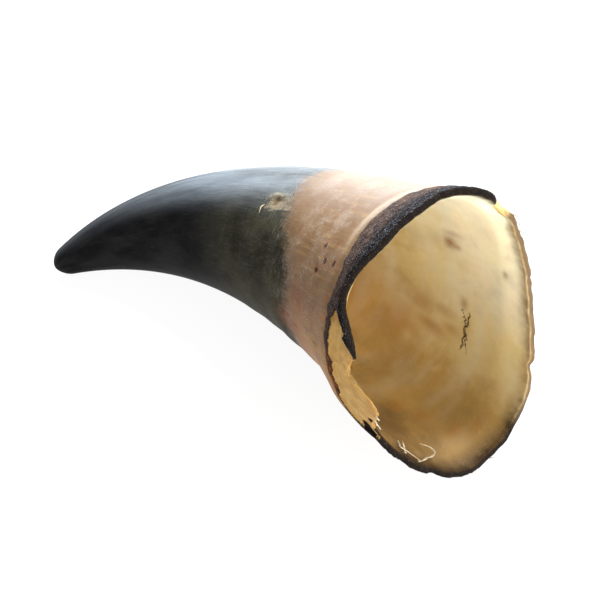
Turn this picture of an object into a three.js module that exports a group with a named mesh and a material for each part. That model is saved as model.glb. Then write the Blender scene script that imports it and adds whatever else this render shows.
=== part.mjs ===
// A cow horn: one hollow, curved keratin sheath, lying on its side as it rests on a table.
// The mouth faces +X, the tip points along -X, and the bend opens towards -Y. Millimetres, +Z up.
import * as THREE from "three";

// The sheath, measured along its centreline from the mouth to the tip
const LENGTH = 182;
const MOUTH_RADIUS = 38; // mean outer radius
const TIP_ROUNDING = 5.1; // length of the blunt, rounded end
const TAPER = 0.6; // share of the mouth's radius lost evenly along the length
const TIP_TAPER = 0.29; // further share, lost mostly near the tip
const TIP_TAPER_POWER = 3.2;

// The bend, in radians over the whole length: slight at the mouth, tight at the tip
const BEND_AT_MOUTH = 0.14;
const BEND_GROWTH = 2.55;
const TWIST = -0.37;

// The mouth is an upright oval with a slightly egg-shaped outline, and it is cut on a slant
const OVAL_ACROSS = -0.13;
const OVAL_TURNED = 0.024;
const EGG_ACROSS = 0.023;
const EGG_UP = 0.043;
const SLANT = 0.26; // the lower lip reaches out by this share of the radius, the upper lip is as far back
const SLANT_REACH = 0.3; // share of the length over which the slant dies away

// The wall and the hollow that the bone core left
const LIP_WALL = 1.3;
const WALL_AT_MOUTH = 2.4;
const LIP_WALL_DEPTH = 10;
const HOLLOW_DEPTH = 116;
const HOLLOW_POWER = 2.3; // how late the hollow closes
const HOLLOW_ROUNDING = 7;

// The rough dark band of old skin round the mouth, with a raised edge behind it
const BAND_WIDTH = 8.5;
const BAND_HEIGHT = 0.8;
const BAND_ROUGHNESS = 0.25;
const EDGE_RIDGE = { behind: 2.2, height: 0.55, width: 2.4 };

// Where the band has come away, below the concave side, with a prong of it left along the lip
const BARE = { from: -52, to: 38, fade: 7 }; // degrees round the mouth
const PRONG = { from: 17, to: 44, width: 3.0, height: 1.1 };

// The swelling under the bare patch, which starts in a step on the concave side
const SWELLING = { at: -30, spread: 27, height: 3.3, from: 31, full: 18, atLip: 0.55, lipReach: 12 };

// Where the lip stands out or in from the plain oval: degrees, spread in degrees, radial offset
const LIP_LOBES = [
  { at: 105, spread: 26, out: 0.4 },
  { at: 158, spread: 26, out: -2.0 },
  { at: 212, spread: 14, out: 0.4 },
  { at: 196, spread: 36, out: -1.2 },
  { at: 255, spread: 30, out: -1.5 },
  { at: 300, spread: 20, out: -0.9 },
  { at: 12, spread: 22, out: -1.2 },
];
const LOBE_REACH = 40; // how far behind the lip they fade away
const TORN_TONGUE = { at: -14, spread: 15, length: 3.4 }; // the inner layer sticks out past the lip here

// Chips in the lip: place in degrees round the mouth, half width in degrees, depth along the axis, loss of wall
const CHIPS = [
  { at: 128, half: 6, depth: 2.6, loss: 0.7 },
  { at: 219, half: 4, depth: 1.6, loss: 0.5 },
  { at: 143, half: 4, depth: 1.0, loss: 0.2 },
  { at: 4, half: 6, depth: 1.6, loss: 0.3 },
  { at: -31, half: 4, depth: 1.6, loss: 0.5 },
  { at: -45, half: 5, depth: 1.2, loss: 0.3 },
  { at: -66, half: 5, depth: 1.2, loss: 0.3 },
];
const RAGGED = 0.45; // unevenness of the lip
const LIP_FADE = 14; // how far behind the lip its unevenness reaches

// Growth rings: distance from the mouth, height and width
const GROWTH_RINGS = [
  [17, 0.28, 3.2],
  [27, 0.34, 3.8],
  [39, 0.3, 4.2],
  [52, 0.42, 4.0],
  [64, 0.24, 4.4],
  [79, 0.2, 5.0],
];

// A torn flake that stands up a little on the upper side
const FLAKE = { behind: 63.8, at: 71, length: 4.2, width: 2.8, height: 0.7 };

// How the sheath lies: degrees about its long axis, nose down, then heading
const ROLL_DEG = 1.2;
const NOSE_DOWN_DEG = 10.9;
const HEADING_DEG = -28;

// The mesh
const AROUND = 72;
const OUTER_RINGS = [0, 1.3, 2.6, 4, 5.6, 7.2, 8.8, 10.2, 12, 14.5, 18, 22];
const OUTER_STEP = 6;
const TIP_RINGS = 5;
const INNER_RINGS = [0, 1.5, 3.5, 7, 12, 18];
const INNER_STEP = 8;
const HOLLOW_END_RINGS = 4;
const SPINE_STEP = 1;

const RADIAN = Math.PI / 180;

function smooth(low, high, x) {
  const t = Math.min(1, Math.max(0, (x - low) / (high - low)));
  return t * t * (3 - 2 * t);
}

function bump(distance, width) {
  return Math.exp(-((distance / width) ** 2));
}

// Degrees from one bearing round the horn to another, between -180 and 180
function turnBetween(a, b) {
  return ((((a - b + 180) % 360) + 360) % 360) - 180;
}

// 1 between two bearings, falling to 0 over the fade on either side
function withinBearings(degrees, from, to, fade) {
  const middle = (from + to) / 2;
  const off = Math.abs(turnBetween(degrees, middle));
  return 1 - smooth((to - from) / 2 - fade / 2, (to - from) / 2 + fade / 2, off);
}

// The centreline as a chain of frames: where it is, which way it runs, and which way it bends
function makeSpine() {
  const at = new THREE.Vector3();
  const along = new THREE.Vector3(1, 0, 0);
  const bend = new THREE.Vector3(0, 1, 0);
  const up = new THREE.Vector3(0, 0, 1);
  const spine = [{ at: at.clone(), along: along.clone(), bend: bend.clone(), up: up.clone() }];
  const steps = Math.round(LENGTH / SPINE_STEP);
  for (let i = 0; i < steps; i++) {
    const share = (i + 0.5) / steps;
    const turn = (BEND_AT_MOUTH + BEND_GROWTH * share) / steps;
    const before = along.clone();
    along.applyAxisAngle(up, turn);
    bend.applyAxisAngle(up, turn);
    bend.applyAxisAngle(along, TWIST / steps);
    up.crossVectors(along, bend);
    at.addScaledVector(before.add(along).normalize(), SPINE_STEP);
    spine.push({ at: at.clone(), along: along.clone(), bend: bend.clone(), up: up.clone() });
  }
  return spine;
}

const spine = makeSpine();

function frameAt(s) {
  const place = Math.min(spine.length - 1.001, Math.max(0, s / SPINE_STEP));
  const before = spine[Math.floor(place)];
  const after = spine[Math.floor(place) + 1];
  const share = place - Math.floor(place);
  return {
    at: before.at.clone().lerp(after.at, share),
    along: before.along.clone().lerp(after.along, share).normalize(),
    bend: before.bend.clone().lerp(after.bend, share).normalize(),
    up: before.up.clone().lerp(after.up, share).normalize(),
  };
}

// Mean outer radius, which closes in a round end
function taperedRadius(s) {
  const share = s / LENGTH;
  const radius = MOUTH_RADIUS * (1 - TAPER * share - TIP_TAPER * share ** TIP_TAPER_POWER);
  const intoTip = Math.max(0, s - (LENGTH - TIP_ROUNDING)) / TIP_ROUNDING;
  return radius * Math.sqrt(Math.max(0, 1 - intoTip ** 2));
}

function outlineShare(s, angle) {
  const oval = OVAL_ACROSS * Math.cos(2 * angle) + OVAL_TURNED * Math.sin(2 * angle);
  const egg = EGG_ACROSS * Math.cos(3 * angle) + EGG_UP * Math.sin(3 * angle);
  return 1 + (1 - s / LENGTH) * (oval + egg);
}

// Small, repeatable unevenness round the horn
function waver(degrees, seed) {
  const a = degrees * RADIAN;
  return (
    0.5 * Math.sin(7 * a + seed) +
    0.3 * Math.sin(13 * a + 2.1 * seed) +
    0.35 * Math.sin(19 * a + 3.7 * seed)
  );
}

function bandRelief(s, degrees) {
  const width = BAND_WIDTH + 0.9 * waver(degrees, 0.4);
  const inBand = 1 - smooth(width - 0.9, width + 0.9, s);
  const bare = withinBearings(degrees, BARE.from, BARE.to, BARE.fade);
  const prong =
    withinBearings(degrees, PRONG.from, PRONG.to, 3) * (1 - smooth(PRONG.width - 1, PRONG.width + 1, s));
  const rough = BAND_ROUGHNESS * waver(degrees * 1.6, 1.3 + s * 0.9);
  const ridgeAt = width + EDGE_RIDGE.behind;
  const ridge = EDGE_RIDGE.height * bump(s - ridgeAt, EDGE_RIDGE.width);
  return (BAND_HEIGHT + rough) * inBand * (1 - bare) + PRONG.height * prong * bare + ridge;
}

function chipLoss(s, degrees) {
  let loss = 0;
  for (const chip of CHIPS) {
    loss += chip.loss * bump(turnBetween(degrees, chip.at), chip.half) * (1 - smooth(2, 6, s));
  }
  return loss;
}

// What both the outside and the hollow follow: the swelling and the lobes of the lip
function mouthShape(s, degrees) {
  const round = bump(turnBetween(degrees, SWELLING.at), SWELLING.spread);
  const start = 1 - smooth(SWELLING.full, SWELLING.from, s);
  const atLip = THREE.MathUtils.lerp(SWELLING.atLip, 1, smooth(0, SWELLING.lipReach, s));
  let offset = SWELLING.height * round * start * atLip;
  const lobeShare = Math.max(0, 1 - s / LOBE_REACH) ** 2;
  for (const lobe of LIP_LOBES) {
    offset += lobe.out * lobeShare * bump(turnBetween(degrees, lobe.at), lobe.spread);
  }
  return offset;
}

function surfaceRelief(s, degrees) {
  let relief = 0;
  for (const [behind, height, width] of GROWTH_RINGS) {
    relief += height * bump(s - behind - 1.2 * waver(degrees / 2, behind), width);
  }
  const along = (s - FLAKE.behind) / FLAKE.length;
  const across = (turnBetween(degrees, FLAKE.at) * RADIAN * taperedRadius(s)) / FLAKE.width;
  return relief + FLAKE.height * bump(Math.hypot(along, across), 1);
}

function outerRadius(s, angle) {
  const degrees = angle / RADIAN;
  const smoothShape = taperedRadius(s) * outlineShare(s, angle);
  const nearTip = 1 - smooth(LENGTH - 3 * TIP_ROUNDING, LENGTH, s);
  const relief = bandRelief(s, degrees) + surfaceRelief(s, degrees) - chipLoss(s, degrees);
  return smoothShape + relief * nearTip + mouthShape(s, degrees);
}

// Radius of the hollow, which narrows inside the sheath and closes in a round end
function innerRadius(s, angle) {
  const degrees = angle / RADIAN;
  const lip = THREE.MathUtils.lerp(LIP_WALL, WALL_AT_MOUTH, smooth(0, LIP_WALL_DEPTH, s));
  const open = taperedRadius(s) * outlineShare(s, angle) + mouthShape(s, degrees) - lip;
  const narrowing = 1 - (Math.max(0, s) / (HOLLOW_DEPTH + HOLLOW_ROUNDING)) ** HOLLOW_POWER;
  const intoEnd = Math.max(0, s - (HOLLOW_DEPTH - HOLLOW_ROUNDING)) / HOLLOW_ROUNDING;
  return open * narrowing * Math.sqrt(Math.max(0, 1 - intoEnd ** 2));
}

// How far the surface is pushed along the horn: the slant of the mouth and its ragged lip
function slide(s, angle, radius) {
  const degrees = angle / RADIAN;
  const slant = SLANT * radius * Math.sin(angle) * Math.max(0, 1 - s / LENGTH / SLANT_REACH) ** 2;
  let lip = RAGGED * waver(degrees, 2.2);
  lip -= TORN_TONGUE.length * bump(turnBetween(degrees, TORN_TONGUE.at), TORN_TONGUE.spread);
  for (const chip of CHIPS) {
    lip += chip.depth * bump(turnBetween(degrees, chip.at), chip.half);
  }
  return slant + lip * Math.max(0, 1 - s / LIP_FADE) ** 2;
}

function ring(s, radiusAt) {
  const { at, along, bend, up } = frameAt(s);
  const points = [];
  for (let i = 0; i < AROUND; i++) {
    const angle = (i / AROUND) * 2 * Math.PI;
    const radius = radiusAt(s, angle);
    points.push(
      at
        .clone()
        .addScaledVector(bend, radius * Math.cos(angle))
        .addScaledVector(up, radius * Math.sin(angle))
        .addScaledVector(along, slide(s, angle, radius)),
    );
  }
  return points;
}

// Stations from the given first ones on, at an even step, closing in on a rounded end
function stations(first, step, roundFrom, end, roundRings) {
  const list = [...first];
  const start = first.at(-1);
  const count = Math.max(1, Math.round((roundFrom - start) / step));
  for (let i = 1; i <= count; i++) list.push(start + ((roundFrom - start) * i) / count);
  for (let i = 1; i < roundRings; i++) {
    list.push(roundFrom + (end - roundFrom) * Math.sin((i / roundRings) * (Math.PI / 2)));
  }
  return list;
}

// The whole skin as one closed surface: tip, outside, lip, inside and the end of the hollow
function sheathGeometry() {
  const outer = stations(OUTER_RINGS, OUTER_STEP, LENGTH - TIP_ROUNDING, LENGTH, TIP_RINGS);
  const inner = stations(
    INNER_RINGS,
    INNER_STEP,
    HOLLOW_DEPTH - HOLLOW_ROUNDING,
    HOLLOW_DEPTH,
    HOLLOW_END_RINGS,
  );
  const rings = [
    ...outer.reverse().map((s) => ring(s, outerRadius)),
    ...inner.map((s) => ring(s, innerRadius)),
  ];
  const points = [frameAt(LENGTH).at, ...rings.flat(), frameAt(HOLLOW_DEPTH).at];
  const faces = [];
  const corner = (r, i) => 1 + r * AROUND + (i % AROUND);
  for (let i = 0; i < AROUND; i++) {
    faces.push(0, corner(0, i), corner(0, i + 1));
    for (let r = 0; r + 1 < rings.length; r++) {
      faces.push(corner(r, i), corner(r + 1, i), corner(r + 1, i + 1));
      faces.push(corner(r, i), corner(r + 1, i + 1), corner(r, i + 1));
    }
    faces.push(corner(rings.length - 1, i), points.length - 1, corner(rings.length - 1, i + 1));
  }
  const geometry = new THREE.BufferGeometry().setFromPoints(points);
  geometry.setIndex(faces);
  geometry.computeVertexNormals();
  return geometry;
}

// Turns the sheath the way it lies, then sets it down with the origin under the middle of its box
function lieDown(mesh) {
  mesh.rotation.set(ROLL_DEG * RADIAN, NOSE_DOWN_DEG * RADIAN, (180 + HEADING_DEG) * RADIAN, "ZYX");
  mesh.updateMatrixWorld(true);
  const box = new THREE.Box3().setFromObject(mesh, true);
  const middle = box.getCenter(new THREE.Vector3());
  mesh.position.set(-middle.x, -middle.y, -box.min.z);
}

const keratin = new THREE.MeshStandardMaterial({ color: 0x6b5743, roughness: 0.45, metalness: 0 });
const horn = new THREE.Mesh(sheathGeometry(), keratin);
horn.name = "horn";
lieDown(horn);

const object = new THREE.Group();
object.add(horn);

export default object;
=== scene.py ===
import math
import bpy
import numpy as np
from mathutils import Matrix, Vector, noise


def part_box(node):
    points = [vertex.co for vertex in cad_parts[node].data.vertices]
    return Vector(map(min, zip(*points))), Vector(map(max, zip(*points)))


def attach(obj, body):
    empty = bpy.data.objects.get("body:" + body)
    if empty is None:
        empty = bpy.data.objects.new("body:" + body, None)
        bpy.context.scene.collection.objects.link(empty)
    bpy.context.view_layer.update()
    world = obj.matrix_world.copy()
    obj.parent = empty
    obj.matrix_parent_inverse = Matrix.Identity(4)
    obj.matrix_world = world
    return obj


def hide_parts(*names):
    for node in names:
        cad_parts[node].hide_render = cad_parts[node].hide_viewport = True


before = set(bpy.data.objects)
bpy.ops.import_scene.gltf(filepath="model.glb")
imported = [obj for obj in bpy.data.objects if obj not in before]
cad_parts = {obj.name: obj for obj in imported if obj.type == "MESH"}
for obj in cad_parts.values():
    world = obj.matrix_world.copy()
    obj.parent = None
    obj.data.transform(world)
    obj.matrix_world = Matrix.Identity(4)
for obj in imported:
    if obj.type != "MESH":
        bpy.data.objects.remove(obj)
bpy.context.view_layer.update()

# Keratin sheath
# The horn itself: a hollow, curved cone of keratin, thin at the mouth and solid at the rounded tip.
# It grew in layers round a bone core that is gone, which gave it a grain along its length, faint
# growth rings and, round the mouth, a rough band of old dark skin. Sizes are in millimetres.
LENGTH = 182
MOUTH_RADIUS = 38
TIP_ROUNDING = 5.1
TAPER = 0.6
TIP_TAPER = 0.29
TIP_TAPER_POWER = 3.2
BEND_AT_MOUTH = 0.14
BEND_GROWTH = 2.55
TWIST = -0.37
OVAL_ACROSS, OVAL_TURNED = -0.13, 0.024
EGG_ACROSS, EGG_UP = 0.023, 0.043
SLANT, SLANT_REACH = 0.26, 0.3
LIP_WALL, WALL_AT_MOUTH, LIP_WALL_DEPTH = 1.3, 2.4, 10
HOLLOW_DEPTH, HOLLOW_POWER, HOLLOW_ROUNDING = 116, 2.3, 7
SWELLING = {"at": -30, "spread": 27, "height": 3.3, "start": 31, "full": 18}
SWELLING_AT_LIP, SWELLING_LIP_REACH = 0.55, 12
LIP_LOBES = [  # degrees round the mouth, spread, how far out
    (105, 26, 0.4),
    (158, 26, -2.0),
    (212, 14, 0.4),
    (196, 36, -1.2),
    (255, 30, -1.5),
    (300, 20, -0.9),
    (12, 22, -1.2),
]
LOBE_REACH = 40
CHIPS = [  # degrees round the mouth, half width, depth along the horn, loss of wall
    (128, 6, 2.6, 0.7),
    (219, 4, 1.6, 0.5),
    (143, 4, 1.0, 0.2),
    (4, 6, 1.6, 0.3),
    (-31, 4, 1.6, 0.5),
    (-45, 5, 1.2, 0.3),
    (-66, 5, 1.2, 0.3),
]
LIP_FADE = 14
BAND_HEIGHT = 0.9
EDGE_RIDGE = {"behind": 2.2, "height": 0.2, "width": 2.2}
GROWTH_RINGS = [  # distance from the mouth, height, width
    (17, 0.2, 3.2), (27, 0.28, 3.8), (39, 0.26, 4.2), (52, 0.36, 4.0), (64, 0.2, 4.4), (79, 0.18, 5.0),
]
SCAR = {"behind": 62.6, "at": 71.5, "long": 6.0, "wide": 3.0}
SCAR_TURN_RADIUS = 26
PITS = [(27.7, 56.5), (19.0, 50.8), (24.2, 50.4), (26.5, 45.5)]  # distance from the mouth, degrees
PIT_LONG, PIT_WIDE, PIT_DEPTH, PIT_TURN_RADIUS = 0.5, 1.3, 0.35, 33
PRONG_THINNED = {"at": 18.5, "spread": 4, "share": 0.9}
LIP_THINNED = {"at": 10, "spread": 14, "loss": 0.75}
AROUND, CROWDING, CROWDED_AT = 400, 0.45, 0.4
SKIN_RADIUS = 36
MM = 0.001


def smooth(low, high, x):
    t = np.clip((x - low) / (high - low), 0, 1)
    return t * t * (3 - 2 * t)


def bump(distance, width):
    return np.exp(-((distance / width) ** 2))


def turn_between(a, b):
    return (a - b + 180) % 360 - 180


def waver(degrees, seed):
    a = np.radians(degrees)
    return 0.5 * np.sin(7 * a + seed) + 0.3 * np.sin(13 * a + 2.1 * seed) + 0.35 * np.sin(19 * a + 3.7 * seed)


def turned(vector, axis, angle):
    sideways = np.cross(axis, vector) * math.sin(angle)
    return vector * math.cos(angle) + sideways + axis * (axis @ vector) * (1 - math.cos(angle))


def make_spine():
    at, along, bend, up = np.zeros(3), np.array([1.0, 0, 0]), np.array([0, 1.0, 0]), np.array([0, 0, 1.0])
    spine = [(at, along, bend, up)]
    for i in range(LENGTH):
        turn = (BEND_AT_MOUTH + BEND_GROWTH * (i + 0.5) / LENGTH) / LENGTH
        next_along = turned(along, up, turn)
        bend = turned(turned(bend, up, turn), next_along, TWIST / LENGTH)
        step = along + next_along
        at = at + step / np.linalg.norm(step)
        along = next_along
        up = np.cross(along, bend)
        spine.append((at, along, bend, up))
    return [np.array(column) for column in zip(*spine)]


SPINE = make_spine()


def frames_at(s):
    marks = np.arange(LENGTH + 1)
    return [np.stack([np.interp(s, marks, column[:, k]) for k in range(3)], -1) for column in SPINE]


def tapered_radius(s):
    share = np.maximum(s, 0) / LENGTH
    radius = MOUTH_RADIUS * (1 - TAPER * share - TIP_TAPER * share**TIP_TAPER_POWER)
    into_tip = np.maximum(0, s - (LENGTH - TIP_ROUNDING)) / TIP_ROUNDING
    return radius * np.sqrt(np.maximum(0, 1 - into_tip**2))


def outline_share(s, a):
    oval = OVAL_ACROSS * np.cos(2 * a) + OVAL_TURNED * np.sin(2 * a)
    egg = EGG_ACROSS * np.cos(3 * a) + EGG_UP * np.sin(3 * a)
    return 1 + (1 - s / LENGTH) * (oval + egg)


def mouth_shape(s, degrees):
    start = 1 - smooth(SWELLING["full"], SWELLING["start"], s)
    at_lip = SWELLING_AT_LIP + (1 - SWELLING_AT_LIP) * smooth(0, SWELLING_LIP_REACH, s)
    side = bump(turn_between(degrees, SWELLING["at"]), SWELLING["spread"])
    offset = SWELLING["height"] * side * start * at_lip
    lobe_share = np.maximum(0, 1 - s / LOBE_REACH) ** 2
    for at, spread, out in LIP_LOBES:
        offset = offset + out * lobe_share * bump(turn_between(degrees, at), spread)
    return offset


# Edges round the mouth, as degrees round it and distance from it: the back of the rough band of old
# skin, the line where that skin broke off below, the prong of it that is left along the lip, and how
# far the wall itself is torn back, or sticks out where the number is negative
BAND_EDGE = [
    (-180, 8), (-120, 6.5), (-60, 6), (-45, 5.5), (-31, 8.5), (-22, 13.6), (-15, 16), (-5, 17), (5, 16.6),
    (13, 16.2), (25, 15.5), (37, 14.4), (45, 14), (51, 13.6), (59, 14.1), (66, 15.2), (76, 15.6), (90, 15),
    (105, 13), (130, 11), (180, 8),
]
BREAK_LINE = [
    (-31, -1), (-28, 4), (-25, 9), (-22, 12.0), (-15, 14.7), (-11, 13.2), (-7, 12.9), (-4.5, 15.4),
    (3, 13.6), (8, 13.2), (11, 14.7), (19, 13.5), (26.5, 12.7), (32, 11.2), (35.5, 8.7),
]
PRONG_EDGE = [
    (16.5, -3), (18.5, 0.2), (20.5, 0.8), (23.6, 2.6), (24.6, 4.4), (25.5, 5.0), (27.5, 3.2), (28.6, 3.4),
    (32.6, 6.4), (35.5, 8.7),
]
TORN_BACK = [
    (-48, 0), (-38, 0.8), (-30, 2.0), (-24, 2.6), (-20, 2.2), (-15, 0.4), (-12, -1.2), (-8, -2.4), (-5, -3.0),
    (-3, -4.4), (-1.6, -5.6), (-0.6, -4.4), (0.6, -4.4), (1.8, -2.4), (2.8, 0), (3.6, 3.4), (4.4, 5.0),
    (8, 4.4), (13, 3.6), (16, 2.4), (18, 0.9), (20, 0), (25, 0.7), (30, 2.2), (35, 3.8), (40, 4.8),
    (45, 4.5), (50, 3.6), (58, 1.6), (66, 0.4), (74, 0),
]


def edge_at(points, degrees, outside=-1):
    """How far from the mouth an edge runs at these degrees, and the outside value past its ends."""
    off = turn_between(degrees, 0)
    return np.interp(off, [p[0] for p in points], [p[1] for p in points], left=outside, right=outside)


def inside_bare(s, degrees):
    """Millimetres inside the edge of the torn place, negative outside it."""
    far = edge_at(BREAK_LINE, degrees, -3) + 0.45 * waver(3 * degrees, 0.7)
    near = edge_at(PRONG_EDGE, degrees, -3) + 0.2 * waver(4 * degrees, 1.9)
    return np.minimum(far - s, s - near)


def inside_band(s, degrees):
    """Millimetres inside the back edge of the band of old skin."""
    return edge_at(BAND_EDGE, degrees, 8) + 0.5 * waver(degrees, 0.4) + 0.35 * waver(3 * degrees, 1.4) - s


def in_scar(s, degrees, lumps):
    """0 in the middle of the scar on the upper side, 1 at its edge."""
    sideways = np.radians(turn_between(degrees, SCAR["at"])) * tapered_radius(s)
    along = s - SCAR["behind"]
    return np.hypot(along / SCAR["long"], (sideways - 0.12 * along) / SCAR["wide"]) + 0.55 * lumps


def outer_radius(s, a, lumps):
    degrees = np.degrees(a)
    bare = smooth(-0.25, 0.3, inside_bare(s, degrees))
    band_in = inside_band(s, degrees)
    band = smooth(-0.6, 1.6, band_in) * (0.75 + 0.25 * smooth(0, 7, band_in)) * (BAND_HEIGHT + 0.4 * lumps)
    below = bump(turn_between(degrees, -10), 50)
    at_prong = bump(turn_between(degrees, PRONG_THINNED["at"]), PRONG_THINNED["spread"])
    band = band * (1 - PRONG_THINNED["share"] * at_prong * (1 - smooth(3, 6, s)))
    relief = band * (1 - bare) * (1 - 0.5 * below * (s > 3.4)) - 0.5 * bare * (1 - 0.6 * below)
    relief = relief + 0.12 * lumps * bare
    ridge = bump(band_in + EDGE_RIDGE["behind"], EDGE_RIDGE["width"])
    relief = relief + EDGE_RIDGE["height"] * ridge * (1 - bare)
    for behind, height, ring_width in GROWTH_RINGS:
        relief = relief + height * bump(s - behind - 1.2 * waver(degrees / 2, behind), ring_width)
    for at, half, depth, loss in CHIPS:
        relief = relief - loss * bump(turn_between(degrees, at), half) * (1 - smooth(2, 6, s))
    scar = in_scar(s, degrees, lumps)
    above = smooth(-1, 1, np.radians(turn_between(degrees, SCAR["at"])) * SCAR_TURN_RADIUS)
    relief = relief + (0.45 * above + 0.25 * lumps) * bump(scar - 0.8, 0.3) - 0.4 * bump(scar, 0.5)
    relief = relief + 0.3 * lumps * (1 - smooth(0.8, 1.2, scar))
    for behind, at in PITS:
        sideways = np.radians(turn_between(degrees, at)) * PIT_TURN_RADIUS
        leant = (s - behind - 0.6 * sideways) / PIT_LONG
        pit = np.hypot(leant, (sideways + 0.4 * (s - behind)) / PIT_WIDE)
        relief = relief - PIT_DEPTH * bump(pit, 1)
    near_tip = 1 - smooth(LENGTH - 3 * TIP_ROUNDING, LENGTH, s)
    return tapered_radius(s) * outline_share(s, a) + relief * near_tip + mouth_shape(s, degrees)


def inner_radius(s, a):
    lip = LIP_WALL + (WALL_AT_MOUTH - LIP_WALL) * smooth(0, LIP_WALL_DEPTH, s)
    thinned = bump(turn_between(np.degrees(a), LIP_THINNED["at"]), LIP_THINNED["spread"])
    lip = lip - LIP_THINNED["loss"] * thinned * (1 - smooth(1, 6, s))
    open_radius = tapered_radius(s) * outline_share(s, a) + mouth_shape(s, np.degrees(a)) - lip
    narrowing = 1 - (np.maximum(0, s) / (HOLLOW_DEPTH + HOLLOW_ROUNDING)) ** HOLLOW_POWER
    into_end = np.maximum(0, s - (HOLLOW_DEPTH - HOLLOW_ROUNDING)) / HOLLOW_ROUNDING
    return open_radius * narrowing * np.sqrt(np.maximum(0, 1 - into_end**2))


def ragged_lip(degrees):
    """How far the lip is worn back, in millimetres: the torn place, chips and fine teeth."""
    lip = edge_at(TORN_BACK, degrees, 0)
    for at, half, depth, loss in CHIPS:
        lip = lip + depth * bump(turn_between(degrees, at), half)
    torn = 0.25 + 0.9 * bump(turn_between(degrees, -20), 34)
    teeth = 0.4 * waver(3 * degrees, 0.9) + 0.3 * waver(7 * degrees, 2.6)
    teeth = teeth + 0.7 * waver(5.2 * degrees, 0.3) * bump(turn_between(degrees, -7), 8)
    return lip + 0.45 * waver(degrees, 2.2) + torn * teeth


def slide(s, a, radius):
    slant = SLANT * radius * np.sin(a) * np.maximum(0, 1 - s / LENGTH / SLANT_REACH) ** 2
    return slant + ragged_lip(np.degrees(a)) * np.maximum(0, 1 - s / LIP_FADE) ** 2


def points_on(s, a, radius, forward=0):
    at, along, bend, up = frames_at(s)
    out = radius * np.cos(a)
    high = radius * np.sin(a)
    back = slide(s, a, radius) - forward
    return at + out[..., None] * bend + high[..., None] * up + back[..., None] * along


# The way the horn lies: turned about its length, nose down, then turned on the table
ROLL, NOSE_DOWN, HEADING = math.radians(1.2), math.radians(10.9), math.radians(180 - 28)
TURNS = [(HEADING, "Z"), (NOSE_DOWN, "Y"), (ROLL, "X")]
HEADED, LOWERED, ROLLED = (np.array(Matrix.Rotation(angle, 3, axis)) for angle, axis in TURNS)
LIES = HEADED @ LOWERED @ ROLLED
SOLID_LOW, SOLID_HIGH = (np.array(corner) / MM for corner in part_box("horn"))


def lying(points):
    return points @ LIES.T


def mouth_place():
    """Where the middle of the mouth goes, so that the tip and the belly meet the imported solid."""
    s, a = np.meshgrid(np.arange(20, LENGTH + 0.1, 1), np.radians(np.arange(0, 360, 2)), indexing="ij")
    body = lying(points_on(s, a, outer_radius(s, a, 0 * s)))
    low, high = body.min((0, 1)), body.max((0, 1))
    return np.array([SOLID_LOW[0] - low[0], SOLID_HIGH[1] - high[1], -low[2]])


MOUTH_AT = mouth_place()


def rings(first, last, step_at_first, step_at_last):
    """Distances from the mouth whose spacing grows evenly from one step to the other."""
    count = max(2, round(2 * (last - first) / (step_at_first + step_at_last)))
    share = np.linspace(0, 1, count + 1)
    ratio = step_at_first / step_at_last
    eased = ratio * share + (1 - ratio) * share**2
    return first + (last - first) * eased / eased[-1]


def lump_field(s, a, size, seed):
    """Smooth lumps between -1 and 1, the same at the seam, about the given size in millimetres."""
    radius = SKIN_RADIUS / size
    spots = np.stack([radius * np.cos(a), radius * np.sin(a), s / size + seed], -1).reshape(-1, 3)
    return np.array([noise.noise(Vector(spot)) for spot in spots]).reshape(s.shape)


LIP_STEPS = 5
round_end = np.sin(np.linspace(0, math.pi / 2, 11))
outside_s = np.concatenate([rings(0, 18, 0.36, 0.4), rings(18, LENGTH - TIP_ROUNDING, 0.6, 2.9)[1:]])
outside_s = np.concatenate([outside_s, LENGTH - TIP_ROUNDING + TIP_ROUNDING * round_end[1:-1]])[::-1]
inside_s = np.concatenate([rings(0, 20, 0.45, 0.8), rings(20, HOLLOW_DEPTH - HOLLOW_ROUNDING, 0.9, 3.2)[1:]])
inside_s = np.concatenate([inside_s, HOLLOW_DEPTH - HOLLOW_ROUNDING + HOLLOW_ROUNDING * round_end[1:-1:2]])
evenly = np.arange(AROUND) * 2 * math.pi / AROUND
# Closer together at the torn place, where the detail is
angles = evenly - CROWDING * np.sin(evenly - CROWDED_AT)

out_s, out_a = np.meshgrid(outside_s, angles, indexing="ij")
lumps = np.zeros(out_s.shape)
near_mouth = outside_s < 75
lumps[near_mouth] = lump_field(out_s[near_mouth], out_a[near_mouth], 2.2, 0) * 0.7
lumps[near_mouth] += lump_field(out_s[near_mouth], out_a[near_mouth], 0.9, 40) * 0.5
out_radius = outer_radius(out_s, out_a, lumps)
outside = points_on(out_s, out_a, out_radius)

in_s, in_a = np.meshgrid(inside_s, angles, indexing="ij")
in_radius = inner_radius(in_s, in_a)
inside = points_on(in_s, in_a, in_radius)

lip_share = np.linspace(0, 1, LIP_STEPS + 2)[1:-1]
lip_s, lip_a = np.meshgrid(lip_share * 0, angles, indexing="ij")
lip_radius = out_radius[-1] + (in_radius[0] - out_radius[-1]) * lip_share[:, None]
lip_lumps = lump_field(lip_share[:, None] * 2 + lip_s, lip_a, 1.3, 70)
lip_out = (0.3 + 0.35 * lip_lumps) * np.sin(lip_share * math.pi)[:, None]
lip = points_on(lip_s, lip_a, lip_radius, lip_out)

all_s = np.concatenate([out_s, lip_s, in_s])
all_a = np.concatenate([out_a, lip_a, in_a])
depth = np.concatenate([0 * out_s, lip_share[:, None] + 0 * lip_s, 1 + 0 * in_s])
skin = np.concatenate([outside, lip, inside]).reshape(-1, 3)
ends = frames_at(np.array([LENGTH - 0.001, HOLLOW_DEPTH]))[0]
points = lying(np.concatenate([skin, ends])) + MOUTH_AT
points = np.clip(points, SOLID_LOW, SOLID_HIGH)

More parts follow.
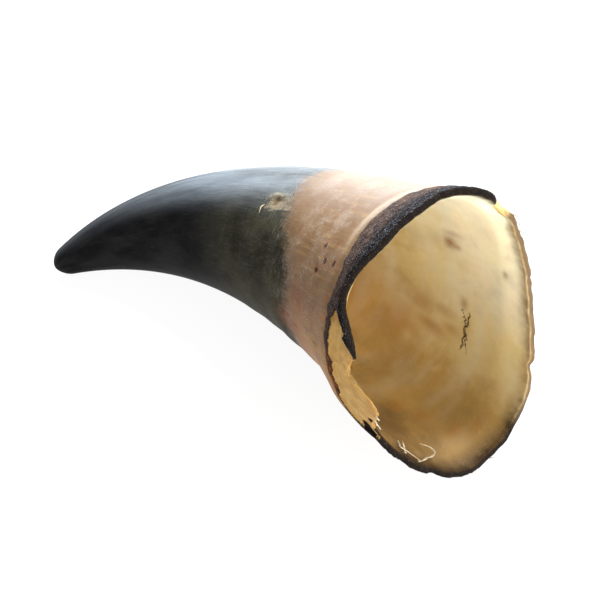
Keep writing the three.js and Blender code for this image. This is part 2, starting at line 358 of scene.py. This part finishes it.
ring_count = all_s.shape[0]
near = np.arange(ring_count - 1)[:, None] * AROUND + np.arange(AROUND)[None, :]
beside = np.arange(ring_count - 1)[:, None] * AROUND + (np.arange(AROUND)[None, :] + 1) % AROUND
quads = np.stack([near, near + AROUND, beside + AROUND, beside], -1).reshape(-1, 4)
tip_fan = [(ring_count * AROUND, i, (i + 1) % AROUND) for i in range(AROUND)]
last = (ring_count - 1) * AROUND
end_fan = [(last + i, ring_count * AROUND + 1, last + (i + 1) % AROUND) for i in range(AROUND)]
mesh = bpy.data.meshes.new("horn_sheath")
mesh.from_pydata((points * MM).tolist(), [], quads.tolist() + tip_fan + end_fan)
mesh.polygons.foreach_set("use_smooth", [True] * len(mesh.polygons))
horn = bpy.data.objects.new("horn_sheath", mesh)
bpy.context.collection.objects.link(horn)


def keep(name, values, for_ends=(0, 0)):
    """Stores one number for each point of the sheath, which the material reads."""
    layer = mesh.attributes.new(name, "FLOAT", "POINT")
    layer.data.foreach_set("value", np.concatenate([np.ravel(values), for_ends]).astype(np.float32))


def keep_vector(name, x, y, z, for_ends):
    layer = mesh.attributes.new(name, "FLOAT_VECTOR", "POINT")
    values = np.stack([np.ravel(x), np.ravel(y), np.ravel(z)], -1)
    layer.data.foreach_set("vector", np.concatenate([values, for_ends]).astype(np.float32).ravel())


all_degrees = turn_between(np.degrees(all_a), 0)
turn_radius = SKIN_RADIUS - WALL_AT_MOUTH * depth
ends_at = [(0, 0, LENGTH), (0, 0, HOLLOW_DEPTH)]
keep_vector("unrolled", turn_radius * np.cos(all_a), turn_radius * np.sin(all_a), all_s, ends_at)
keep("depth", depth, (0, 1))

# Where the dark end of the horn begins, as degrees round the horn and distance from the mouth
DARK_FROM = [
    (-180, 52), (-120, 44), (-60, 42), (0, 40), (34, 40.5), (50, 47), (65, 54), (90, 60), (140, 58),
    (180, 52),
]
keep("past_dark", all_s - edge_at(DARK_FROM, all_degrees, 52), (100, 100))
keep("bare", np.clip(inside_bare(all_s, all_degrees), -4, 4) * (1 - depth) - 4 * depth)
keep("band", np.clip(inside_band(all_s, all_degrees), -6, 20))
REDDENED = {"at": -4, "spread": 17}
# Painted highlight: a pale strip just behind the back edge of the band, on the upper side, along the raised
# ridge
PAINTED_HIGHLIGHT_STRIP = {"behind": 2.4, "width": 2.4, "at": 76, "spread": 27}
keep("reddened", bump(turn_between(all_degrees, REDDENED["at"]), REDDENED["spread"]))
highlight_strip = bump(inside_band(all_s, all_degrees) + PAINTED_HIGHLIGHT_STRIP["behind"], PAINTED_HIGHLIGHT_STRIP["width"])
keep("ridge", highlight_strip * bump(turn_between(all_degrees, PAINTED_HIGHLIGHT_STRIP["at"]), PAINTED_HIGHLIGHT_STRIP["spread"]))
all_lumps = np.concatenate([lumps, 0 * lip_s, 0 * in_s])
keep("scar", np.clip(in_scar(all_s, all_degrees, all_lumps), 0, 3) + 3 * depth)

# Black and brown places on the outside: distance from the mouth, degrees, how long, how wide in
# degrees, how strong
SCORCHED = [(3.8, -26, 3.0, 6.5, 1), (0.8, -14, 1.0, 2.0, 1)]
BROWNED = [(14.6, -11, 1.6, 3.4, 1), (33, 28, 5, 7, 1), (40, 8, 6, 10, 1)]


def spots(places):
    """How strongly each point lies in one of these soft spots."""
    found = np.zeros(all_s.shape)
    for at, degrees, long, wide, strength in places:
        spot = bump(all_s - at, long) * bump(turn_between(all_degrees, degrees), wide)
        found = np.maximum(found, strength * spot)
    return found


keep("scorch", spots(SCORCHED) * (1 - depth))
keep("brown", spots(BROWNED) * (1 - depth))
keep("chip", bump(turn_between(all_degrees, 129.5), 4.5) * bump(all_s, 3))
keep("tongue", np.minimum(20.5 - 4 * depth - all_degrees, all_degrees + 21) * 0.6)
across_pits = [np.radians(turn_between(all_degrees, at)) * PIT_TURN_RADIUS for _, at in PITS]
pit_at = [np.hypot(all_s - behind, across) for (behind, _), across in zip(PITS, across_pits)]
keep("pit", np.clip(np.min(pit_at, axis=0), 0, 6))

# The strip just inside the lip, brown on the right and nearly black below, as degrees and its width
RIM_STRIP = [
    (-180, 2.2), (-140, 2.0), (-125, 2.2), (-108, 2.6), (-92, 2.8), (-75, 2.6), (-62, 2.6), (-52, 3.4),
    (-46, 3.0), (-38, 1.0), (-20, 0.2), (20, 0.2), (30, 1.6), (50, 2.0), (62, 0.6), (95, 1.0), (108, 2.6),
    (124, 2.0), (128, 0.3), (134, 0.6), (139, 2.4), (180, 2.2),
]
RIM_DARK = [
    (-180, 0), (-130, 0.2), (-112, 0.75), (-90, 1), (-50, 1), (-35, 0.8), (0, 0.4), (18, 1.2), (95, 1.2),
    (115, 0.9), (126, 0.7), (136, 0.15), (180, 0),
]
rim_width = edge_at(RIM_STRIP, all_degrees, 2.2) + 0.15 * waver(2 * all_degrees, 0.3)
keep("rim", np.where(depth > 0.99, rim_width - all_s, 3))
keep("rim_dark", edge_at(RIM_DARK, all_degrees, 0.15))
# Painted light and shade for the hollow: bright towards 138 degrees, where light comes through the wall,
# dimmer further in, darkest on the opposite side near the mouth
lit_side = 0.5 + 0.5 * np.cos(np.radians(all_degrees - 138))
keep("glow", lit_side * (1 - 0.5 * smooth(8, 60, all_s)) + 0.12 * smooth(10, 30, all_s) * (1 - lit_side))

# Stains in the hollow, given like the black and brown places
STAINS = [
    (27.8, 165.9, 2.4, 4.4, 1.0),
    (25.5, 167, 1.6, 2.4, 0.8),
    (26.5, 158, 3.5, 2.2, 0.4),
    (33, 166, 3.5, 7.0, 0.3),
    (40, 172, 4, 9.0, 0.25),
    (42, -120, 6.0, 14.0, 0.5),
    (36, -138, 4.5, 8.0, 0.5),
    (29, -140, 4.5, 4.0, 0.45),
    (22.4, -152, 1.3, 4.5, 0.7),
    (20.6, -139, 1.2, 8.0, 0.35),
    (21.8, -75.1, 2.2, 6.0, 0.5),
    (16.6, -84.1, 1.6, 4.0, 0.5),
    (8.6, -93.0, 1.6, 5.0, 0.45),
    (6.5, -101.9, 1.4, 4.0, 0.35),
    (7.4, 169.8, 0.9, 2.6, 0.6),
    (39, -119, 6, 5, 0.55),
    (31.5, -127, 6, 4, 0.65),
    (25, -132, 3.5, 3.5, 0.5),
    (70, -115, 24, 45, 0.4),
]
keep("stain", spots(STAINS) * depth)


# The finish of the keratin: satin, slightly see-through where the wall is thin, near black towards the
# tip and tan at the base. The old skin is dark and rough, and the layer below it is honey yellow.
def tone(red, green, blue):
    """A colour given as the numbers of a picture editor, turned into light."""
    values = [v / 255 for v in (red, green, blue)]
    return (*[v / 12.92 if v <= 0.04045 else ((v + 0.055) / 1.055) ** 2.4 for v in values], 1)


class Link:
    """A shader socket that takes part in Python sums, and the one way to any other node."""

    def __init__(self, tree, socket=None):
        self.tree = tree
        self.socket = socket

    def node(self, kind, settings, sockets, output=0):
        made = self.tree.nodes.new(kind)
        for name, value in settings.items():
            if name == "stops":
                while len(made.color_ramp.elements) < len(value):
                    made.color_ramp.elements.new(0.5)
                for element, (place, colour) in zip(made.color_ramp.elements, value):
                    element.position = place
                    element.color = colour
            else:
                setattr(made, name, value)
        for name, value in sockets.items():
            if isinstance(value, Link):
                self.tree.links.new(value.socket, made.inputs[name])
            else:
                made.inputs[name].default_value = value
        return Link(self.tree, made.outputs[output])

    def sum(self, operation, first, second):
        return self.node("ShaderNodeMath", {"operation": operation}, {0: first, 1: second})

    def __add__(self, other):
        return self.sum("ADD", self, other)

    def __radd__(self, other):
        return self.sum("ADD", other, self)

    def __sub__(self, other):
        return self.sum("SUBTRACT", self, other)

    def __rsub__(self, other):
        return self.sum("SUBTRACT", other, self)

    def __mul__(self, other):
        return self.sum("MULTIPLY", self, other)

    def __rmul__(self, other):
        return self.sum("MULTIPLY", other, self)

    def __truediv__(self, other):
        return self.sum("DIVIDE", self, other)

    def __rtruediv__(self, other):
        return self.sum("DIVIDE", other, self)

    def rises(self, low, high):
        """0 up to low, 1 from high on, smooth between them."""
        settings = {"interpolation_type": "SMOOTHSTEP"}
        return self.node("ShaderNodeMapRange", settings, {0: self, 1: low, 2: high})

    def blend(self, colour, over):
        """The colour at 0, turning into the other one as this mask goes to 1."""
        settings = {"data_type": "RGBA"}
        return self.node("ShaderNodeMix", settings, {0: self, 6: colour, 7: over}, 2)

    def stretched(self, across, along):
        """This place with its two directions scaled, for grain that runs one way."""
        scales = (across, across, along)
        return self.node("ShaderNodeVectorMath", {"operation": "MULTIPLY"}, {0: self, 1: scales})

    def parts(self):
        """The three numbers of a place."""
        return [self.node("ShaderNodeSeparateXYZ", {}, {0: self}, output) for output in range(3)]

    def larger(self, other):
        return self.sum("MAXIMUM", self, other)

    def size(self):
        """Without its sign."""
        return self.node("ShaderNodeMath", {"operation": "ABSOLUTE"}, {0: self})

    def zigzag(self):
        """Up and down between 0 and a half, once for each whole number."""
        return self.node("ShaderNodeMath", {"operation": "PINGPONG"}, {0: self, 1: 0.5})

    def cloud(self, scale, detail=3, roughness=0.55):
        sockets = {"Vector": self, "Scale": scale, "Detail": detail, "Roughness": roughness}
        return self.node("ShaderNodeTexNoise", {}, sockets)


CRACK = {"at": -137, "behind": 20.4}
UPWARD, SIDEWAYS = 0.94, 0.34  # the direction straight up, in the horn's own two directions across it


def crack_place(across, high, along):
    """Millimetres along the crack in the hollow and across it."""
    angle = math.radians(CRACK["at"])
    return high * math.cos(angle) - across * math.sin(angle), along - CRACK["behind"]


def keratin():
    material = bpy.data.materials.new("horn_keratin")
    material.use_nodes = True
    tree = material.node_tree
    shader = tree.nodes["Principled BSDF"]
    start = Link(tree)

    def kept(name, output=2):
        return start.node("ShaderNodeAttribute", {"attribute_name": name}, {}, output)

    place = kept("unrolled", 1)
    across, high, along = place.parts()
    depth, bare, band, rim = kept("depth"), kept("bare"), kept("band"), kept("rim")
    streaks = place.stretched(1, 0.09).cloud(0.9, 5, 0.6)
    fine_streaks = place.stretched(1, 0.05).cloud(3.2, 4, 0.6)
    patches = place.cloud(0.07, 4, 0.55)
    mottle = place.cloud(0.35, 4, 0.6)
    grit = place.cloud(2.4, 4, 0.65)
    specks = place.cloud(4.2, 2, 0.5)
    up_side = (high * UPWARD + across * SIDEWAYS) / SKIN_RADIUS
    sky_side = (high * UPWARD - across * SIDEWAYS) / SKIN_RADIUS
    far_side = 1 - (across / SKIN_RADIUS).rises(-0.8, -0.1)

    # The dark end: near black at the tip, olive towards the base, with a pale hatch along the grain and a
    # painted grey-blue sheen on the top side
    dark = patches.rises(0.35, 0.7).blend(tone(10, 10, 12), tone(24, 24, 24))
    olive = (1 - along.rises(62, 108)) * (0.4 + patches.rises(0.35, 0.6) * 0.5)
    dark = (olive * (0.5 + mottle * 0.8)).blend(dark, tone(58, 55, 40))
    hatch = fine_streaks.rises(0.56, 0.74) * (1 - along.rises(60, 120) * 0.7)
    hatch = hatch * (0.3 + up_side.rises(-0.3, 0.3) * 0.7)
    dark = (hatch * 0.3).blend(dark, tone(104, 100, 92))
    # Painted sheen: grey-blue on the side towards the light above and behind, fading towards the tip
    painted_sheen = sky_side.rises(0.6, 1.08) * (1 - along.rises(90, 165) * 0.85)
    long_patches = place.stretched(1, 0.22).cloud(0.12, 4, 0.6)
    painted_sheen = painted_sheen * (0.2 + fine_streaks * 0.5 + (long_patches - 0.5) * 1.2)
    dark = painted_sheen.blend(dark, tone(130, 138, 146))
    dark = (specks.rises(0.68, 0.75) * 0.3).blend(dark, tone(150, 146, 138))

    # The tan base: orange low down, brown above and behind, a painted grey sheen on top, streaked along the
    # grain
    tan = up_side.rises(0.2, 1.0).blend(tone(152, 104, 40), tone(106, 80, 50))
    tan = (far_side * 0.6).blend(tan, tone(106, 84, 60))
    tan = (mottle.rises(0.4, 0.7) * 0.7).blend(tan, tone(104, 70, 38))
    tan = (patches.rises(0.5, 0.62) * (1 - up_side.rises(0.5, 0.9)) * 0.5).blend(tan, tone(136, 90, 42))
    blots = place.cloud(0.15, 4, 0.65).rises(0.52, 0.62) * (1 - up_side.rises(0.7, 1.0))
    tan = (blots * 0.7).blend(tan, tone(142, 82, 22))
    tan = (streaks.rises(0.5, 0.72) * 0.35).blend(tan, tone(166, 130, 80))
    tan = ((1 - streaks.rises(0.3, 0.46)) * 0.4).blend(tan, tone(84, 58, 38))
    tan = (fine_streaks.rises(0.6, 0.74) * 0.25).blend(tan, tone(192, 168, 130))
    # Painted sheen: greyer on the side towards the light above and behind
    tan = (sky_side.rises(0.6, 1.05) * (0.2 + fine_streaks * 0.9)).blend(tan, tone(110, 98, 90))
    to_dark = kept("past_dark") + (streaks - 0.5) * 12 + (fine_streaks - 0.5) * 9 + (mottle - 0.5) * 6
    dark_mask = to_dark.rises(-2.5, 3.5)
    brown_mask = to_dark.rises(-9, 1)
    tan = (brown_mask * 0.6).blend(tan, tone(88, 64, 42))
    colour = dark_mask.blend(tan, dark)
    pit = kept("pit") + (grit - 0.5) * 1.4
    colour = ((1 - pit.rises(0.3, 2.4)) * 0.5).blend(colour, tone(120, 66, 26))
    pitted = 1 - pit.rises(0.4, 1.2)
    colour = pitted.blend(colour, tone(44, 26, 16))
    rings = place.stretched(0.12, 1).cloud(2.2, 3, 0.6)
    near_edge = to_dark.rises(-6, 0) * (1 - to_dark.rises(4, 14))
    colour = (near_edge * rings.rises(0.54, 0.7) * 0.28).blend(colour, tone(168, 156, 138))
    # Painted highlight along the ridge behind the band
    ridge = (kept("ridge") * (grit * 0.7 + mottle * 0.8)).rises(0.2, 0.95)
    colour = (ridge * 0.6).blend(colour, tone(164, 150, 132))
    colour = (kept("brown") * (0.3 + mottle)).blend(colour, tone(112, 62, 26))

    # Scuffs: pale curly scratches, most on the upper side near the base
    curls = (place.stretched(1, 0.75).cloud(0.22, 2, 0.5) * 16).zigzag()
    small_curls = (place.stretched(1, 0.6).cloud(0.5, 2, 0.5) * 14).zigzag()
    scuffed = place.cloud(0.16, 4, 0.7).rises(0.44, 0.6) * up_side.rises(0.15, 0.9) * along.rises(14, 24)
    tiny_curls = (place.stretched(1, 0.5).cloud(1.0, 2, 0.5) * 12).zigzag()
    line = ((1 - curls.rises(0, 0.03)) * 0.5).larger((1 - small_curls.rises(0, 0.045)) * 0.8)
    line = line.larger((1 - tiny_curls.rises(0, 0.07)) * 0.8)
    scuffs = line * scuffed * (1 - along.rises(34, 60) * 0.75) * (1 - along.rises(60, 110))
    colour = (scuffs * 0.6).blend(colour, tone(226, 220, 210))

    # The scar: a pale crust with a brown hollow
    scar = kept("scar") + (grit - 0.5) * 1.3 + (mottle - 0.5) * 1.2
    crust = grit.rises(0.35, 0.6).blend(tone(146, 138, 120), tone(104, 88, 66))
    colour = ((1 - scar.rises(0.7, 1.1)) * 0.8).blend(colour, crust)
    colour = ((1 - scar.rises(0.1, 0.4)) * 0.7).blend(colour, tone(92, 70, 46))

    # The rough band of old skin: purple brown behind, black at the lip, dusted with pale specks
    band_colour = along.rises(3.5, 10).blend(tone(14, 13, 14), tone(70, 54, 45))
    band_colour = (mottle.rises(0.42, 0.62) * 0.7).blend(band_colour, tone(30, 25, 26))
    band_colour = (grit.rises(0.56, 0.7) * 0.35).blend(band_colour, tone(92, 90, 96))
    band_colour = (specks.rises(0.62, 0.69) * 0.6).blend(band_colour, tone(172, 176, 184))
    red_brown = mottle.rises(0.4, 0.6).blend(tone(134, 78, 40), tone(76, 44, 28))
    band_colour = kept("reddened").rises(0.3, 0.8).blend(band_colour, red_brown)
    band_mask = (band + (mottle - 0.5) * 1.6 + (streaks - 0.5) * 1.6).rises(-0.5, 0.7)
    colour = band_mask.blend(colour, band_colour)

    # The honey yellow layer under it, with the broken edge of the skin dark round it
    yellow = mottle.rises(0.3, 0.7).blend(tone(196, 156, 88), tone(170, 128, 66))
    yellow = (streaks.rises(0.55, 0.7) * 0.4).blend(yellow, tone(208, 178, 118))
    torn = bare + (grit - 0.5) * 0.7 + (mottle - 0.5) * 0.8
    colour = (torn.rises(-0.7, -0.3) * 0.8).blend(colour, tone(46, 34, 28))
    bare_mask = torn.rises(-0.1, 0.15)
    colour = bare_mask.blend(colour, yellow)
    scorch = (kept("scorch") + (grit - 0.5) * 0.5).rises(0.3, 0.5)
    colour = scorch.blend(colour, tone(20, 15, 12))

    # The hollow: cream high on the far side, golden in the middle, brown low down. This is painted light:
    # painted glow where light comes through the wall, painted shade low down, and pale ring streaks that are
    # stronger where it glows
    rounds = place.stretched(0.25, 1).cloud(0.12, 2, 0.5)
    light_side = kept("glow") + (patches - 0.5) * 0.5 + (mottle - 0.5) * 0.12
    browns = [(0, tone(104, 76, 38)), (0.3, tone(158, 124, 66))]
    creams = [(0.6, tone(214, 192, 134)), (0.95, tone(246, 241, 210))]
    inner = light_side.node("ShaderNodeValToRGB", {"stops": browns + creams}, {0: light_side})
    inner = (rounds.rises(0.42, 0.72) * 0.5 * kept("glow")).blend(inner, tone(222, 222, 204))
    inner = (patches.rises(0.5, 0.68) * 0.25).blend(inner, tone(160, 122, 66))
    inner = (specks.rises(0.66, 0.72) * 0.4).blend(inner, tone(222, 200, 150))
    inner = (kept("stain") * (0.3 + grit * 0.5 + mottle * 0.7)).blend(inner, tone(146, 92, 28))
    crack_u, crack_s = crack_place(across, high, along)
    wander = (place.cloud(0.3, 4, 0.55) - 0.5) * 4
    crack = 1 - (crack_s - wander).size().rises(0.12, 0.5)
    branch = crack_s - 0.3 + crack_u * 0.3 + (place.cloud(0.42, 4, 0.6) - 0.5) * 5
    crack = crack.larger(1 - branch.size().rises(0.05, 0.3))
    crack = crack * (1 - (crack_u + wander).size().rises(5.5, 7.5)) * grit.rises(0.32, 0.46) * depth
    crack = crack * (1 - along.rises(26, 28)) * (1 - (across / SKIN_RADIUS).rises(0, 0.1))
    inner = (crack * 0.95).blend(inner, tone(44, 30, 18))
    colour = depth.rises(0.75, 1).blend(colour, inner)

    # The edge of the wall: brown where light comes through, nearly black below and on top
    just_inside = depth.rises(0.7, 1)
    rim_colour = just_inside.blend(tone(102, 82, 58), tone(178, 152, 108))
    rim_colour = (mottle.rises(0.4, 0.6) * 0.5).blend(rim_colour, tone(116, 92, 60))
    rim_dark = (kept("rim_dark") + (mottle - 0.5) * 0.4).rises(0.2, 0.8)
    rim_colour = rim_dark.blend(rim_colour, just_inside.blend(tone(24, 19, 17), tone(46, 33, 21)))
    rim_colour = (specks.rises(0.63, 0.7) * 0.35).blend(rim_colour, tone(150, 134, 104))
    rim_mask = (rim + (mottle - 0.5) * 2.4 + (patches - 0.5) * 2).rises(-2.2, 3.2) * depth.rises(0, 0.12)
    tongue = (kept("tongue") + (grit - 0.5) * 0.8).rises(-0.15, 0.15)
    rim_mask = rim_mask * (1 - tongue)
    colour = rim_mask.blend(colour, rim_colour)
    colour = (tongue * depth.rises(0, 0.3) * (1 - depth.rises(0.8, 1))).blend(colour, tone(146, 110, 58))
    fresh = mottle.rises(0.4, 0.6).blend(tone(214, 190, 132), tone(176, 148, 96))
    colour = (kept("chip") + (mottle - 0.5) * 0.4).rises(0.35, 0.65).blend(colour, fresh)

    grain = fine_streaks * 0.18 + streaks * 0.16
    bumps = grit * (band_mask * (1 - depth) * 1.2 + 0.08) + grain - scuffs * 0.25
    raised = start.node("ShaderNodeBump", {}, {"Strength": 0.55, "Distance": 0.0006, "Height": bumps})
    roughness = 0.42 + band_mask * (1 - depth) * 0.22 + streaks * 0.12 + depth * 0.12
    opaque = dark_mask.larger(band_mask * (1 - bare_mask)).larger(scorch).larger(pitted) * (1 - depth)
    opaque = opaque.larger(rim_mask * rim_dark)
    skin = {"Base Color": colour, "Roughness": roughness, "Normal": raised}
    for name, link in skin.items():
        tree.links.new(link.socket, shader.inputs[name])
    shader.inputs["IOR"].default_value = 1.54
    shader.inputs["Subsurface Weight"].default_value = 0.35
    shader.inputs["Subsurface Radius"].default_value = (0.002, 0.0016, 0.001)
    shader.inputs["Subsurface Scale"].default_value = 1.0
    shader.inputs["Specular IOR Level"].default_value = 0.22
    skin.update({"IOR": 1.3, "Specular IOR Level": 0.05})
    solid = start.node("ShaderNodeBsdfPrincipled", {"name": "dark_keratin"}, skin)
    mixed = start.node("ShaderNodeMixShader", {}, {0: opaque, 1: Link(tree, shader.outputs[0]), 2: solid})
    tree.links.new(mixed.socket, tree.nodes["Material Output"].inputs["Surface"])
    return material


mesh.materials.append(keratin())
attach(horn, "root")
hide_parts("horn")


# Torn flakes and fibres
# Slivers of the same keratin that still hang on: along the edge of the torn place, inside the lower lip,
# at the scar and on the worn right of the lip. Each grows out of the sheath at its first point.
FLAKES = [  # which wall, width, then distance from the mouth, degrees and lift at each point
    (
        "in", 0.55,
        [(7.1, -52, 0.0), (4, -48, 0.5), (2.0, -45, 0.7), (2.3, -49, 0.9), (1.8, -53, 0.7), (1.2, -57, 0.6)],
    ),
    (
        "in", 0.6,
        [(1, -56, 0.1), (1.6, -62, 0.6), (2.8, -69, 1), (4.2, -73.5, 1.6), (5.5, -71.5, 2), (6, -66, 1.7)],
    ),
    ("in", 0.7, [(2.0, -49, 0.2), (4.0, -50.5, 0.8), (5.4, -51, 1.5)]),
    ("in", 0.5, [(1.0, -17, 0.1), (1.4, -19, 0.5), (0.6, -21.5, 0.7), (0.2, -25, 0.5)]),
    ("out", 0.7, [(0.8, -5.0, -0.3), (-0.5, -5.8, -0.1), (-1.6, -6.6, 0.0), (-2.2, -7.4, -0.2)]),
    ("out", 0.6, [(0.6, -9.4, -0.3), (-0.4, -10.6, 0.0), (-0.8, -12.4, 0.2)]),
    ("out", 0.7, [(57.9, 75.5, -0.1), (57.4, 77.0, 0.7), (57.7, 79.0, 1.6), (57.0, 80.5, 2.6)]),
    ("out", 0.3, [(68.2, 69.0, -0.1), (68.6, 66.6, 0.5), (67.8, 64.2, 0.7), (67.9, 62.5, 0.4)]),
    ("out", 0.5, [(1.0, 134, -0.2), (-0.3, 135.5, 0.2), (-0.9, 137.4, 0.6)]),
    ("out", 0.4, [(1.0, 139, -0.2), (-0.2, 140, 0.3), (-0.6, 142.4, 0.6)]),
    ("out", 0.4, [(1.0, 143, -0.2), (-0.3, 144.6, 0.3), (-0.4, 147.0, 0.7)]),
    ("out", 0.5, [(1.5, -96, -0.1), (0.2, -97, 0.2), (-0.7, -99, 0.4)]),
]
FLAKE_THICKNESS = 0.22
STEPS = 24


def rounded_off(values):
    """The same run of values with its corners rounded and its two ends kept."""
    for _ in range(5):
        between = (values[:-2] + 2 * values[1:-1] + values[2:]) / 4
        values = np.concatenate([values[:1], between, values[-1:]])
    return values


def flake_path(wall, marks):
    """The middle of a flake and the direction straight out of the wall, at even steps."""
    share = np.linspace(0, 1, STEPS)
    knots = np.linspace(0, 1, len(marks))
    s, degrees, lift = (rounded_off(np.interp(share, knots, [mark[k] for mark in marks])) for k in range(3))
    a = np.radians(degrees)
    on_wall = np.maximum(s, 0)
    radius = outer_radius(on_wall, a, 0 * s) + lift if wall == "out" else inner_radius(on_wall, a) - lift
    middle = points_on(on_wall, a, radius, np.maximum(-s, 0))
    further = points_on(on_wall, a, radius + 1, np.maximum(-s, 0))
    return lying(middle) + MOUTH_AT, lying(further - middle)


flake_points = []
flake_faces = []
for wall, width, marks in FLAKES:
    middle, outward = flake_path(wall, marks)
    runs = np.gradient(middle, axis=0)
    sideways = np.cross(runs, outward)
    sideways /= np.linalg.norm(sideways, axis=1)[:, None]
    taper = 1 - 0.85 * np.linspace(0, 1, STEPS) ** 1.5
    taper = taper * (1 + 0.25 * np.sin(np.arange(STEPS) * 1.5 + width * 9))
    half_wide = sideways * (width / 2 * taper)[:, None]
    half_thick = outward * FLAKE_THICKNESS / 2
    first = len(flake_points)
    for i in range(STEPS):
        for across, through in ((-1, -1), (1, -1), (1, 1), (-1, 1)):
            flake_points.append(middle[i] + across * half_wide[i] + through * half_thick[i])
    for i in range(STEPS - 1):
        for k in range(4):
            corner, beside = first + 4 * i + k, first + 4 * i + (k + 1) % 4
            flake_faces.append((corner, beside, beside + 4, corner + 4))
    flake_faces.append((first + 3, first + 2, first + 1, first))
    end = first + 4 * (STEPS - 1)
    flake_faces.append((end, end + 1, end + 2, end + 3))
flake_points = np.clip(np.array(flake_points), SOLID_LOW, SOLID_HIGH)
flake_mesh = bpy.data.meshes.new("torn_flakes")
flake_mesh.from_pydata((flake_points * MM).tolist(), [], flake_faces)
flakes = bpy.data.objects.new("torn_flakes", flake_mesh)
bpy.context.collection.objects.link(flakes)


def torn_keratin():
    """Thin, dry keratin: pale cream, browner here and there."""
    material = bpy.data.materials.new("torn_keratin")
    material.use_nodes = True
    tree = material.node_tree
    shader = tree.nodes["Principled BSDF"]
    place = Link(tree).node("ShaderNodeTexCoord", {}, {}, "Object")
    grain = place.cloud(900, 4, 0.6)
    colour = grain.rises(0.4, 0.65).blend(tone(186, 176, 152), tone(140, 122, 96))
    raised = place.node("ShaderNodeBump", {}, {"Strength": 0.4, "Distance": 0.0002, "Height": grain})
    for name, link in {"Base Color": colour, "Roughness": grain * 0.3 + 0.4, "Normal": raised}.items():
        tree.links.new(link.socket, shader.inputs[name])
    shader.inputs["Specular IOR Level"].default_value = 0.25
    return material


flake_mesh.materials.append(torn_keratin())
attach(flakes, "root")


# Floor
# A wide, pale sheet that the horn lies on, which curves up far away. It isn't part of the object.
# It glows faintly, like paper on a light table, so that the shadow on it stays soft.
FLOOR_RINGS = [(0.6, 0), (1.6, 0), (2.2, 0.06), (2.7, 0.28), (3.0, 0.7), (3.1, 1.3)]  # radius and height
FLOOR_SIDES = 64
floor_mesh = bpy.data.meshes.new("floor")
turns = [2 * math.pi * i / FLOOR_SIDES for i in range(FLOOR_SIDES)]
floor_points = [(0, 0, 0)]
for radius, height in FLOOR_RINGS:
    floor_points += [(radius * math.cos(turn), radius * math.sin(turn), height) for turn in turns]
floor_faces = [(0, 1 + i, 1 + (i + 1) % FLOOR_SIDES) for i in range(FLOOR_SIDES)]
for ring in range(len(FLOOR_RINGS) - 1):
    first = 1 + ring * FLOOR_SIDES
    for i in range(FLOOR_SIDES):
        j = (i + 1) % FLOOR_SIDES
        floor_faces.append((first + i, first + FLOOR_SIDES + i, first + FLOOR_SIDES + j, first + j))
floor_mesh.from_pydata(floor_points, [], floor_faces)
floor_mesh.polygons.foreach_set("use_smooth", [True] * len(floor_mesh.polygons))
floor = bpy.data.objects.new("floor", floor_mesh)
bpy.context.collection.objects.link(floor)
paper = bpy.data.materials.new("pale_paper")
paper.use_nodes = True
paper_sockets = paper.node_tree.nodes["Principled BSDF"].inputs
paper_sockets["Base Color"].default_value = (0.08, 0.08, 0.08, 1)
paper_sockets["Emission Color"].default_value = (1, 1, 1, 1)
paper_sockets["Emission Strength"].default_value = 0.92
paper_sockets["Roughness"].default_value = 0.9
floor_mesh.materials.append(paper)

# Light
# A pale sky all round and a broad lamp above and behind the horn, as if it lay near a window, with a
# weaker lamp low on the camera's side that reaches into the hollow.
world = bpy.data.worlds.new("pale_sky")
world.use_nodes = True
world.node_tree.nodes["Background"].inputs["Color"].default_value = (0.95, 0.97, 1, 1)
world.node_tree.nodes["Background"].inputs["Strength"].default_value = 0.42
bpy.context.scene.world = world


def lamp(name, at, towards, size, power, colour):
    light = bpy.data.lights.new(name, "AREA")
    light.energy = power
    light.size = size
    light.color = colour
    holder = bpy.data.objects.new(name, light)
    holder.location = at
    holder.rotation_euler = (Vector(towards) - Vector(at)).to_track_quat("-Z", "Y").to_euler()
    bpy.context.collection.objects.link(holder)


lamp("back_lamp", (-0.1, 0.85, 0.75), (0, 0, 0.04), 0.9, 90, (0.93, 0.97, 1))
lamp("mouth_lamp", (0.98, -0.45, 0.36), (0.05, -0.01, 0.04), 0.7, 21, (1, 1, 0.96))

# Camera
# It looks down on the horn from the mouth's side at about 46 degrees, where the photo was taken from,
# and is turned by one degree.
LENS, SENSOR = 39, 36
CAMERA_AT = Vector((0.08516, -0.13293, 0.18806))
LOOKS_AT = Vector((0.0033, 0.0209, 0))
CAMERA_TILT = math.radians(-1.0)
camera_data = bpy.data.cameras.new("camera")
camera_data.lens = LENS
camera_data.sensor_width = SENSOR
camera_data.clip_start = 0.01
camera = bpy.data.objects.new("camera", camera_data)
camera.location = CAMERA_AT
level = (LOOKS_AT - CAMERA_AT).to_track_quat("-Z", "Y").to_matrix()
camera.rotation_euler = (level @ Matrix.Rotation(CAMERA_TILT, 3, "Z")).to_euler()
bpy.context.collection.objects.link(camera)
bpy.context.scene.camera = camera
bpy.context.scene.view_settings.view_transform = "Standard"
